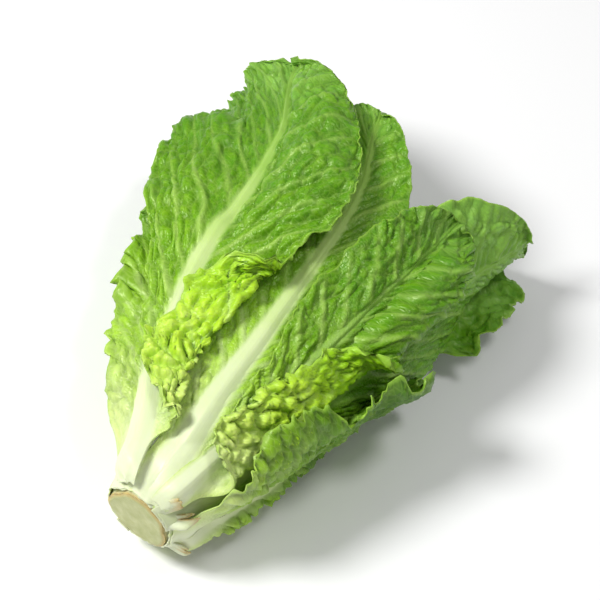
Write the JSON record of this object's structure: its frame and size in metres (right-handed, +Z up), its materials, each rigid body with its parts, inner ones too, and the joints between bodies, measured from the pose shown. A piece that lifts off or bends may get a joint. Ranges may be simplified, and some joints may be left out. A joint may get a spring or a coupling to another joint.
{
  "type": "romaine lettuce head",
  "caption": "Romaine lettuce head lying on its side: a cut stem clasped by long, overlapping leaves with thick pale ribs, crinkled blades and ruffled margins.",
  "frame": {"origin": "on the table, under the middle of the head's bounding box", "axes": "+X along the head from the cut stem to the leaf tips, +Z up from the table, +Y across the head"},
  "size_m": [0.3048, 0.2274, 0.1134],
  "materials": {
    "stem": "moist cut plant tissue, pale green",
    "heart_leaf": "crisp pale yellow-green leaf, satin",
    "outer_leaf": "crisp mid-green leaf with a pale rib, satin"
  },
  "bodies": {
    "root": {"stem": "stem", "heart_leaf_1": "heart_leaf", "heart_leaf_2": "heart_leaf", "heart_leaf_3": "heart_leaf", "heart_leaf_4": "heart_leaf", "heart_leaf_5": "heart_leaf", "heart_leaf_6": "heart_leaf", "heart_leaf_7": "heart_leaf", "heart_leaf_8": "heart_leaf", "under_leaf_side": "outer_leaf", "under_leaf_back": "outer_leaf", "under_leaf_middle": "outer_leaf", "right_leaf": "outer_leaf", "left_leaf": "outer_leaf", "top_right_leaf": "outer_leaf", "centre_leaf": "outer_leaf", "top_left_leaf": "outer_leaf", "low_right_leaf": "outer_leaf"}
  },
  "joints": []
}
